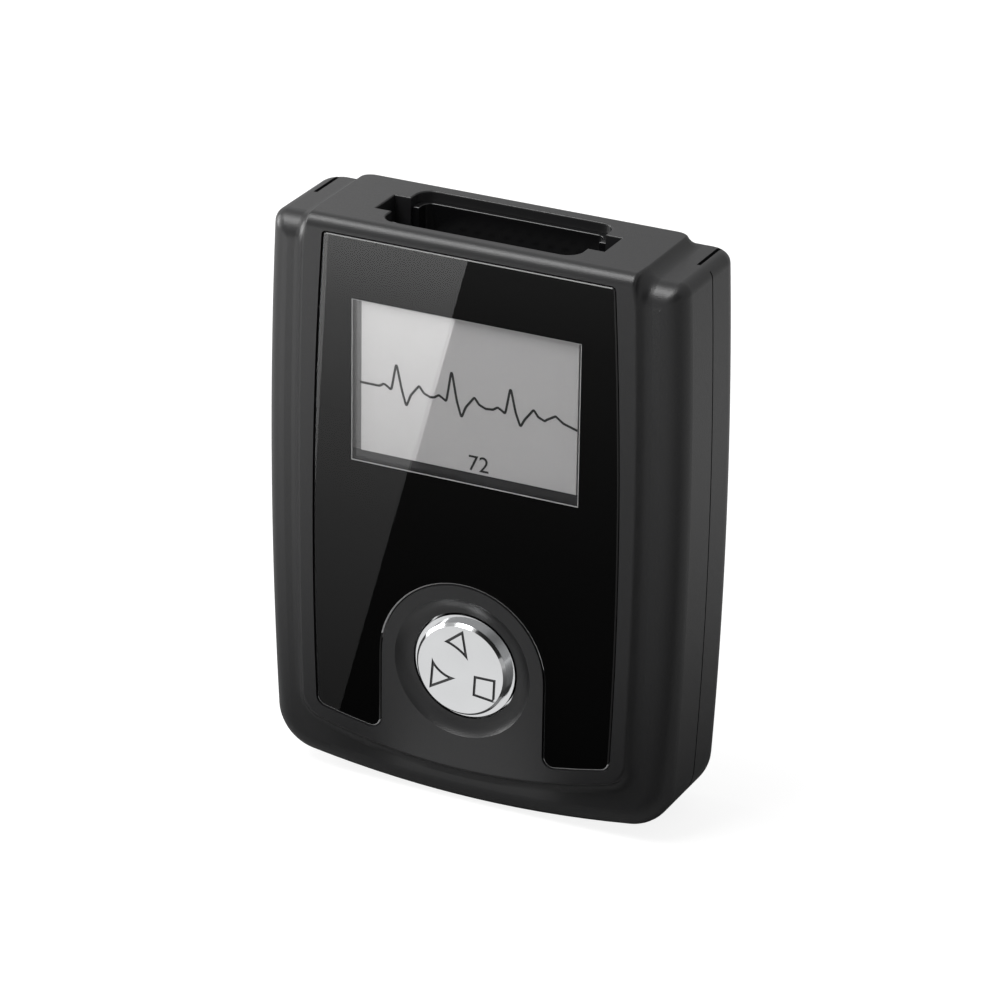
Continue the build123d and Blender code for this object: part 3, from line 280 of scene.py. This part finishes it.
inside = addNode(tree, "Math", {0: radius, 1: key["paintReachMm"] * mm}, operation="LESS_THAN").outputs[0]
# painted shade: the sunk floor of the symbol grooves inside the face gets a dark colour
sunk = addNode(tree, "Math", {
    0: depth, 1: keyLow.y + key["paintDepthMm"] * mm}, operation="GREATER_THAN").outputs[0]
paintedGrooveShade = addNode(tree, "Math", {0: inside, 1: sunk}, operation="MULTIPLY").outputs[0]
colour = addNode(tree, "Mix", {
    0: cloud, 6: linear(key["face"]), 7: linear(key["faceTwo"])}, data_type="RGBA").outputs[2]
colour = addNode(tree, "Mix", {
    0: paintedGrooveShade, 6: colour, 7: linear(key["grooveShadeColour"])}, data_type="RGBA").outputs[2]
metalness = addNode(tree, "Math", {0: 1.0, 1: paintedGrooveShade}, operation="SUBTRACT").outputs[0]
rough = addNode(tree, "MapRange", {
    "Value": grain, "To Min": key["rough"][0], "To Max": key["rough"][1]}).outputs["Result"]
relief = addNode(tree, "Bump", {
    "Height": grain, "Strength": key["relief"], "Distance": key["reliefMm"] * mm})
shader = addNode(tree, "BsdfPrincipled", {
    "Base Color": colour, "Metallic": metalness, "Roughness": rough, "Normal": relief.outputs["Normal"]})
addNode(tree, "OutputMaterial", {"Surface": shader.outputs[0]})
dress(keyMetal, "key_cap")

# Rubber seals: moulded silicone, dull and dark
siliconeBlack = solidFinish({
    "name": "siliconeMoulded", "colour": "#161616", "colourTwo": "#1b1b1b",
    "grainMm": 0.4, "rough": (0.6, 0.72), "relief": 0.15,
})
dress(siliconeBlack, "housing_gasket", "door_seal")

# Contact strip of the display: layered silicone, grey with fine dark stripes
zebra = solidFinish({
    "name": "siliconeZebra", "colour": "#3a3a3a", "colourTwo": "#565656", "stretch": (6, 1, 0.2),
    "grainMm": 0.3, "cloudMm": 0.3, "rough": (0.55, 0.65), "relief": 0.1,
})
dress(zebra, "display_connector")

# Light guide: opal acrylic, milky white
opalAcrylic = solidFinish({
    "name": "acrylicOpal", "colour": "#e6e6e2", "colourTwo": "#dededa",
    "grainMm": 0.5, "rough": (0.3, 0.4), "relief": 0.02,
})
dress(opalAcrylic, "display_backlight")

# Screws of the casing: steel, black zinc plated, with a slight rainbow dulled by handling
blackZinc = solidFinish({
    "name": "steelBlackZinc", "colour": "#26272a", "colourTwo": "#303136", "metallic": 1.0,
    "grainMm": 0.25, "rough": (0.28, 0.42), "relief": 0.1, "cloudMm": 1.5,
})
dress(blackZinc, "case_screws")

# Small steel pieces: bright zinc or nickel, drawn, so the grain runs one way
drawnSteel = solidFinish({
    "name": "steelNickelDrawn", "colour": "#c9c8c3", "colourTwo": "#bdbcb6", "metallic": 1.0,
    "stretch": (0.15, 1, 1), "grainMm": 0.12, "rough": (0.2, 0.34), "relief": 0.1, "cloudMm": 3.0,
})
dress(drawnSteel, "hinge_pin", "contact_positive", "contact_negative", "board_screws", "key_pivot",
      "dome_switches", "clock_cell", "clock_cell_clip")

# Screening can and crystal: tinned steel, soft grey shine with rolling lines
tinnedSteel = solidFinish({
    "name": "steelTinned", "colour": "#b4b4b0", "colourTwo": "#a5a5a1", "metallic": 1.0,
    "stretch": (1, 1, 0.1), "grainMm": 0.2, "rough": (0.3, 0.45), "relief": 0.1, "cloudMm": 2.5,
})
dress(tinnedSteel, "shield_can", "clock_crystal")

# Inserts: knurled brass; contacts: brass with a gold flash
turnedBrass = solidFinish({
    "name": "brassTurned", "colour": "#b8934a", "colourTwo": "#a98641", "metallic": 1.0,
    "stretch": (1, 5, 1), "grainMm": 0.3, "rough": (0.22, 0.36), "relief": 0.3,
})
dress(turnedBrass, "threaded_inserts")
goldFlash = solidFinish({
    "name": "brassGoldFlash", "colour": "#d9b45f", "colourTwo": "#cda850", "metallic": 1.0,
    "grainMm": 0.2, "rough": (0.16, 0.26), "relief": 0.05,
})
dress(goldFlash, "socket_contacts")

# Cell: nickel-plated can, and a shrunk PVC sleeve
cellCan = solidFinish({
    "name": "steelNickelCan", "colour": "#cfcfcd", "colourTwo": "#c2c2c0", "metallic": 1.0,
    "stretch": (4, 1, 1), "grainMm": 0.2, "rough": (0.18, 0.3), "relief": 0.05,
})
dress(cellCan, "battery_can")
cellSleeve = solidFinish({
    "name": "pvcShrunk", "colour": "#26303f", "colourTwo": "#2b3646",
    "grainMm": 1.2, "rough": (0.18, 0.26), "relief": 0.1, "reliefMm": 0.03,
})
dress(cellSleeve, "battery_sleeve")

# Rating plate: anodised aluminium, brushed across, left bare
anodised = solidFinish({
    "name": "aluminiumAnodised", "colour": "#8d8e90", "colourTwo": "#838486", "metallic": 1.0,
    "stretch": (0.05, 1, 1), "grainMm": 0.12, "rough": (0.32, 0.46), "relief": 0.15, "cloudMm": 12.0,
})
dress(anodised, "rating_plate")

# Main board: glass-epoxy under green solder resist, with tracks showing as paler lines, which step
# sideways where a coarse noise does
board = {
    "resist": "#0f4a2a", "track": "#1d6a3e", "rough": 0.28, "pitchMm": 1.27, "widthShare": 0.3,
    "stepEachMm": 9.0, "steps": 0.25, "sidewaysMm": 12.0, "relief": 0.4, "reliefMm": 0.03,
}
resistBoard, tree = emptyMaterial("epoxyGreenResist")
place = addNode(tree, "TexCoord").outputs["Object"]
noise = addNode(tree, "TexNoise", {
    "Vector": place, "Scale": 1 / (board["stepEachMm"] * mm), "Detail": 0.0}).outputs["Color"]
stepped = addNode(tree, "VectorMath", {0: noise, 1: [board["steps"]] * 3}, operation="SNAP")
sideways = board["sidewaysMm"] * mm
bent = addNode(tree, "VectorMath", {
    0: stepped.outputs["Vector"], 1: (sideways, 0, sideways), 2: place}, operation="MULTIPLY_ADD")
bentX = addNode(tree, "SeparateXYZ", {0: bent.outputs["Vector"]}).outputs["X"]
halfPitch = board["pitchMm"] * mm / 2
fromTrack = addNode(tree, "Math", {0: bentX, 1: halfPitch}, operation="PINGPONG").outputs[0]
track = addNode(tree, "Math", {
    0: fromTrack, 1: halfPitch * board["widthShare"]}, operation="LESS_THAN").outputs[0]
colour = addNode(tree, "Mix", {
    0: track, 6: linear(board["resist"]), 7: linear(board["track"])}, data_type="RGBA").outputs[2]
relief = addNode(tree, "Bump", {
    "Height": track, "Strength": board["relief"], "Distance": board["reliefMm"] * mm})
shader = addNode(tree, "BsdfPrincipled", {
    "Base Color": colour, "Roughness": board["rough"], "Normal": relief.outputs["Normal"]})
addNode(tree, "OutputMaterial", {"Surface": shader.outputs[0]})
dress(resistBoard, "main_board")

# Chips and beeper: moulded epoxy, charcoal with a fine sparkle
epoxyMoulded = solidFinish({
    "name": "epoxyMoulded", "colour": "#1d1d1e", "colourTwo": "#242425",
    "grainMm": 0.12, "rough": (0.45, 0.6), "relief": 0.25,
})
dress(epoxyMoulded, "ecg_amplifiers", "processor", "memory_chips", "beeper")

# Capacitors: fired ceramic, tan
firedCeramic = solidFinish({
    "name": "ceramicFired", "colour": "#a07c50", "colourTwo": "#937047",
    "grainMm": 0.2, "rough": (0.3, 0.4), "relief": 0.1,
})
dress(firedCeramic, "board_capacitors")

# Cup of the key's ball: natural acetal, waxy white
acetalNatural = solidFinish({
    "name": "acetalNatural", "colour": "#e2e0d8", "colourTwo": "#dbd9d0",
    "grainMm": 0.5, "rough": (0.35, 0.45), "relief": 0.05,
})
dress(acetalNatural, "key_socket")
print("materials on", len([n for n in nodes.values() if n.data.materials]), "nodes")


def meshPiece(name, points, faces, material):
    mesh = bpy.data.meshes.new(name)
    mesh.from_pydata(points.tolist(), [], faces.tolist())
    mesh.materials.append(material)
    piece = bpy.data.objects.new(name, mesh)
    scene.collection.objects.link(piece)
    return piece


# Display marks: dark liquid-crystal segments, slightly soft black
segments = solidFinish({
    "name": "liquidCrystalDark", "colour": "#0d0e0f", "colourTwo": "#111213",
    "grainMm": 0.3, "rough": (0.3, 0.4), "relief": 0.0, "sockets": {"Specular IOR Level": 0.3},
})

# Trace: three heart beats as a thin ribbon that lies on the film
trace = {
    "fromX": -14.9, "toX": 14.7, "baseZ": 55.0, "endZ": 54.9, "lineMm": 0.31, "thickMm": 0.02,
    "beats": (-9.9, -2.35, 5.65), "heights": (3.5, 4.1, 3.4),
    "dips": (-2.0, -1.95, -1.5), "dipAt": 1.42,
    # the corners of one beat: offset along X and height, in mm; the top of the beat is at offset 0
    "corners": ((-2.3, 0.0), (-1.7, 0.42), (-1.2, 0.15), (-0.65, -0.2), (0.75, 0.2), (2.0, -0.4),
                (2.55, 0.3), (3.15, 1.1), (3.8, 0.25), (4.7, -0.1)),
    "tail": ((10.5, 0.1), (11.75, 0.85), (12.8, 0.1)), "lastZ": -0.45,
    "points": 900, "softMm": 0.08, "smoothings": 3,
}


def traceRibbon(values):
    # height is the base line plus the corners of each beat, joined by straight runs and then averaged
    # over a short stretch, which rounds them; the ribbon is a flat box section carried along that line
    x = np.linspace(values["fromX"], values["toX"], values["points"])
    corners = [(values["fromX"], 0.0), (values["toX"], values["lastZ"]), *values["tail"]]
    for beat, height, dip in zip(values["beats"], values["heights"], values["dips"]):
        corners += [(beat + offset, rise) for offset, rise in values["corners"]]
        corners += [(beat, height), (beat + values["dipAt"], dip)]
    corners = np.array(sorted(corners))
    window = int(round(values["softMm"] * len(x) / (values["toX"] - values["fromX"])))
    average = np.ones(2 * window + 1) / (2 * window + 1)
    rise = np.interp(x, corners[:, 0], corners[:, 1])
    for _ in range(values["smoothings"]):
        rise = np.convolve(np.pad(rise, window, mode="edge"), average, mode="valid")
    z = np.interp(x, (values["fromX"], values["toX"]), (values["baseZ"], values["endZ"])) + rise
    along = np.stack([np.gradient(x), np.gradient(z)], 1)
    along /= np.linalg.norm(along, axis=1)[:, None]
    side = np.stack([-along[:, 1], along[:, 0]], 1) * values["lineMm"] / 2
    back = filmLow.y / mm
    front = back - values["thickMm"]
    rings = []
    for sign, depth in ((-1, back), (1, back), (1, front), (-1, front)):
        rings.append(np.stack([x + sign * side[:, 0], np.full_like(x, depth), z + sign * side[:, 1]], 1))
    points = np.stack(rings, 1).reshape(-1, 3) * mm
    i = np.arange(len(x) - 1)[:, None] * 4
    j = np.arange(4)[None, :]
    k = (j + 1) % 4
    sides = np.stack([i + j, i + 4 + j, i + 4 + k, i + k], -1).reshape(-1, 4)
    last = (len(x) - 1) * 4
    ends = np.array([[0, 1, 2, 3], [last + 3, last + 2, last + 1, last]])
    return points, np.concatenate([sides, ends])


points, faces = traceRibbon(trace)
traceObject = meshPiece("heart_trace", points, faces, segments)
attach(traceObject, "case")

# Rate: a plain number under the trace, as such a display shows
rate = {"words": "72", "heightMm": 2.95, "leftMm": 0.0, "aboveFilmFootMm": 0.35, "thickMm": 0.02}
rateCurve = bpy.data.curves.new("rateCurve", "FONT")
rateCurve.body = rate["words"]
rateCurve.size = rate["heightMm"] * mm
rateCurve.extrude = rate["thickMm"] * mm / 2
rateSource = bpy.data.objects.new("rateSource", rateCurve)
scene.collection.objects.link(rateSource)
bpy.context.view_layer.update()
evaluated = rateSource.evaluated_get(bpy.context.evaluated_depsgraph_get())
rateMesh = bpy.data.meshes.new_from_object(evaluated)
bpy.data.objects.remove(rateSource)
ratePlace = (rate["leftMm"] * mm, filmLow.y - rate["thickMm"] * mm / 2,
             filmLow.z + rate["aboveFilmFootMm"] * mm)
rateMesh.transform(Matrix.Translation(ratePlace) @ Matrix.Rotation(math.pi / 2, 4, "X"))
rateMesh.materials.clear()
rateMesh.materials.append(segments)
rateObject = bpy.data.objects.new("heart_rate", rateMesh)
scene.collection.objects.link(rateObject)
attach(rateObject, "case")

# Edge of the lens's window: a thin pale line round the display, a painted highlight on the window's edge
windowEdge = {"lineMm": 0.13, "thickMm": 0.02, "searchX": (-18.0, 18.0), "searchZ": (42.0, 68.0)}


def squareFrame(values):
    # the four corners of a rectangle, each moved in by the line's width for the inner rectangle, at
    # two depths; the four loops are joined in a ring: front, inner wall, back, outer wall
    ink = np.array([v.co for v in nodes["lens_print"].data.vertices]) / mm
    (fromX, toX), (fromZ, toZ) = values["searchX"], values["searchZ"]
    near = ink[(ink[:, 0] > fromX) & (ink[:, 0] < toX) & (ink[:, 2] > fromZ) & (ink[:, 2] < toZ)]
    (lowX, _, lowZ), (highX, _, highZ) = near.min(axis=0), near.max(axis=0)
    back = ink[:, 1].max()
    loops = []
    for inset in (0.0, values["lineMm"]):
        for depth in (back - values["thickMm"], back):
            loops += [(lowX + inset, depth, lowZ + inset), (highX - inset, depth, lowZ + inset),
                      (highX - inset, depth, highZ - inset), (lowX + inset, depth, highZ - inset)]
    corner = np.arange(4)
    following = (corner + 1) % 4
    outerFront, outerBack, innerFront, innerBack = corner, corner + 4, corner + 8, corner + 12
    walls = []
    for one, two in ((outerFront, innerFront), (innerFront, innerBack),
                     (innerBack, outerBack), (outerBack, outerFront)):
        walls.append(np.stack([one, one[following], two[following], two], 1))
    return np.array(loops) * mm, np.concatenate(walls)


# painted highlight: a pale colour on the thin frame round the window
windowEdgeHighlight = solidFinish({
    "name": "paintedHighlightPale", "colour": "#b9b9b9", "colourTwo": "#a9a9a9",
    "grainMm": 0.3, "rough": (0.3, 0.4), "relief": 0.0,
})
points, faces = squareFrame(windowEdge)
windowObject = meshPiece("window_edge_highlight", points, faces, windowEdgeHighlight)
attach(windowObject, "case")
print("display drawn")

# Floor: paper that is white to the eye and grey to shiny surfaces, with painted shade that darkens
# its glow for shiny surfaces under the recorder; it keeps the shadow
floorLook = {
    "halfMm": 3000.0, "paper": "#8c8c8c", "glow": 0.86,
    "mirrorGlow": 0.34, "fadeFromMm": 60.0, "fadeToMm": 140.0,
}
floorPaper, tree = emptyMaterial("paperWhite")
ray = addNode(tree, "LightPath").outputs
mirrored = addNode(tree, "Math", {
    0: ray["Is Glossy Ray"], 1: ray["Is Transmission Ray"]}, operation="MAXIMUM").outputs[0]
place = addNode(tree, "TexCoord").outputs["Object"]
away = addNode(tree, "VectorMath", {0: place}, operation="LENGTH").outputs["Value"]
# painted shade: the glow seen by shiny surfaces is nothing within 60 mm of the middle and full beyond 140
# mm
mirrorGlowPaintedShade = addNode(tree, "MapRange", {
    "Value": away, "From Min": floorLook["fadeFromMm"] * mm, "From Max": floorLook["fadeToMm"] * mm,
    "To Max": floorLook["mirrorGlow"]}).outputs["Result"]
seen = addNode(tree, "Math", {
    0: ray["Is Camera Ray"], 1: floorLook["glow"]}, operation="MULTIPLY").outputs[0]
strength = addNode(tree, "Math", {0: mirrored, 1: mirrorGlowPaintedShade, 2: seen}, operation="MULTIPLY_ADD").outputs[0]
paper = addNode(tree, "BsdfDiffuse", {"Color": linear(floorLook["paper"])})
glow = addNode(tree, "Emission", {"Color": (1, 1, 1, 1), "Strength": strength})
both = addNode(tree, "AddShader", {0: paper.outputs[0], 1: glow.outputs[0]})
addNode(tree, "OutputMaterial", {"Surface": both.outputs[0]})
oneFace = np.array([[0, 1, 2, 3]])
corners = np.array([(-1, -1, 0), (1, -1, 0), (1, 1, 0), (-1, 1, 0)]) * floorLook["halfMm"] * mm
floor = meshPiece("floor", corners, oneFace, floorPaper)

# World: white to the eye, grey to shiny surfaces, and a soft dim light on everything
world = {"mirrored": 0.5, "light": 0.4}
skyWorld = bpy.data.worlds.new("studioSky")
scene.world = skyWorld
skyWorld.use_nodes = True
tree = skyWorld.node_tree
tree.nodes.clear()
ray = addNode(tree, "LightPath").outputs
mirrored = addNode(tree, "Math", {
    0: ray["Is Glossy Ray"], 1: ray["Is Transmission Ray"]}, operation="MAXIMUM").outputs[0]
strength = addNode(tree, "MapRange", {
    "Value": mirrored, "To Min": world["light"], "To Max": world["mirrored"]}).outputs["Result"]
strength = addNode(tree, "Math", {0: strength, 1: ray["Is Camera Ray"]}, operation="MAXIMUM").outputs[0]
sky = addNode(tree, "Background", {"Color": (1, 1, 1, 1), "Strength": strength})
addNode(tree, "OutputWorld", {"Surface": sky.outputs[0]})

# Lamps: soft boxes, each aimed at the middle of the recorder; radiance is watts over pi and area
lamps = {
    "overhead": {"place": (-0.22, -0.22, 0.62), "size": (0.42, 0.30), "radiance": 9.4},
    "leftFill": {"place": (-0.60, -0.05, 0.20), "size": (0.25, 0.35), "radiance": 9.0},
    "backLeft": {"place": (-0.35, 0.40, 0.35), "size": (0.30, 0.30), "radiance": 0.6},
}
lampTarget = np.array((0, 0, 0.04))
for name, values in lamps.items():
    lamp = bpy.data.lights.new(name, "AREA")
    lamp.shape = "RECTANGLE"
    lamp.size, lamp.size_y = values["size"]
    lamp.energy = values["radiance"] * math.pi * lamp.size * lamp.size_y
    lampObject = bpy.data.objects.new(name, lamp)
    lampObject.location = values["place"]
    back = np.array(values["place"]) - lampTarget
    back /= np.linalg.norm(back)
    side = np.cross((0, 0, 1), back)
    side /= np.linalg.norm(side)
    up = np.cross(back, side)
    lampObject.rotation_euler = Matrix(np.stack([side, up, back], 1).tolist()).to_euler()
    lampObject.visible_camera = False
    scene.collection.objects.link(lampObject)

# Card on the floor in front, seen only by shiny surfaces. Lines across it part it, from left to
# right, into a bright part for the left edge, a paler and a black part whose border makes the
# slanting line in the lens, and a middling part for the right edge; a pale arched patch stands
# before the key
card = {
    "corners": ((-260.0, -330.0), (190.0, -330.0), (190.0, -12.0), (-260.0, -12.0)), "heightMm": 0.5,
    # each line as its X at two places along Y, in mm
    "lineY": (-176.0, -26.0), "leftLine": (-107.6, -31.6), "border": (-82.3, -26.2),
    "rightLine": (-54.0, 15.5),
    # brightness behind the lens, as a place along Y in mm and a strength, and the black part's share
    "glow": ((-176.0, 2.0), (-150.0, 1.25), (-115.0, 0.8), (-80.0, 0.52), (-26.0, 0.26)),
    "blackShare": 0.13,
    # strengths of the two side parts at two places along Y
    "sideY": (-180.0, -30.0), "leftGlow": (3.17, 0.48), "rightGlow": (0.85, 0.13),
    # the patch: its middle, half its width and its height, in mm
    "patch": (-17.2, -44.2), "patchReach": (11.2, 22.0), "patchGlow": 0.95,
}
cardPaint, tree = emptyMaterial("cardPaint")
parts = addNode(tree, "SeparateXYZ", {0: addNode(tree, "TexCoord").outputs["Object"]})
farY, nearY = card["glow"][0][0], card["glow"][-1][0]
(patchX, patchY), (reachX, reachY) = card["patch"], card["patchReach"]
# values that change evenly along Y: two places, in mm, and the value at each
spans = {
    "leftGlow": (card["sideY"], card["leftGlow"]), "rightGlow": (card["sideY"], card["rightGlow"]),
    "rampPlace": ((farY, nearY), (0.0, 1.0)), "patchOut": ((patchY, patchY - reachY), (0.0, 1.0)),
}
for line in ("leftLine", "border", "rightLine"):
    spans[line] = (card["lineY"], [x * mm for x in card[line]])
along = {}
for name, (places, values) in spans.items():
    along[name] = addNode(tree, "MapRange", {
        "Value": parts.outputs["Y"], "From Min": places[0] * mm, "From Max": places[1] * mm,
        "To Min": values[0], "To Max": values[1]}, clamp=False).outputs["Result"]
most = card["glow"][0][1]
ramp = addNode(tree, "ValToRGB", {0: along["rampPlace"]})
stops = ramp.color_ramp.elements
stops[0].color = (1, 1, 1, 1)
stops[1].color = [card["glow"][-1][1] / most] * 3 + [1]
for place, strength in card["glow"][1:-1]:
    stops.new((place - farY) / (nearY - farY)).color = [strength / most] * 3 + [1]
lit = addNode(tree, "Math", {0: ramp.outputs["Color"], 1: most}, operation="MULTIPLY").outputs[0]
black = addNode(tree, "Math", {0: lit, 1: card["blackShare"]}, operation="MULTIPLY").outputs[0]
strength = along["rightGlow"]
for line, glow in (("rightLine", black), ("border", lit), ("leftLine", along["leftGlow"])):
    isLeft = addNode(tree, "Math", {0: parts.outputs["X"], 1: along[line]}, operation="LESS_THAN")
    strength = addNode(tree, "Mix", {0: isLeft.outputs[0], 2: strength, 3: glow}).outputs[0]
# the patch is an arch that leans: a slanting strip on the recorder's side, with a rounded far end
slide = addNode(tree, "Math", {
    0: along["patchOut"], 1: reachX * mm, 2: parts.outputs["X"]}, operation="MULTIPLY_ADD").outputs[0]
across = addNode(tree, "MapRange", {
    "Value": slide, "From Min": patchX * mm, "From Max": (patchX + reachX) * mm}, clamp=False)
beyond = addNode(tree, "Math", {0: along["patchOut"], 1: 0.0}, operation="MAXIMUM").outputs[0]
spot = addNode(tree, "CombineXYZ", {0: across.outputs["Result"], 1: beyond}).outputs[0]
fromMiddle = addNode(tree, "VectorMath", {0: spot}, operation="LENGTH").outputs["Value"]
onPatch = addNode(tree, "Math", {0: fromMiddle, 1: 1.0}, operation="LESS_THAN").outputs[0]
strength = addNode(tree, "Mix", {0: onPatch, 2: strength, 3: card["patchGlow"]}).outputs[0]
light = addNode(tree, "Emission", {"Color": (1, 1, 1, 1), "Strength": strength})
addNode(tree, "OutputMaterial", {"Surface": light.outputs[0]})
corners = np.array([(x, y, card["heightMm"]) for x, y in card["corners"]]) * mm
cardObject = meshPiece("studio_card", corners, oneFace, cardPaint)

# Flag: a black card high at the right front, seen only by shiny surfaces; it darkens the key's
# upper edge
flag = {
    "corners": ((78.0, -155.0, 499.0), (-18.0, -365.0, 381.0), (352.0, -355.0, 61.0),
                (448.0, -145.0, 179.0)),
    "glow": (0.02, 0.02, 0.02, 1),
}
flagBlack, tree = emptyMaterial("flagBlack")
dark = addNode(tree, "Emission", {"Color": flag["glow"]})
addNode(tree, "OutputMaterial", {"Surface": dark.outputs[0]})
flagObject = meshPiece("studio_flag", np.array(flag["corners"]) * mm, oneFace, flagBlack)
for piece in (cardObject, flagObject):
    piece.visible_camera = False
    piece.visible_diffuse = False
    piece.visible_shadow = False
print("studio lit")
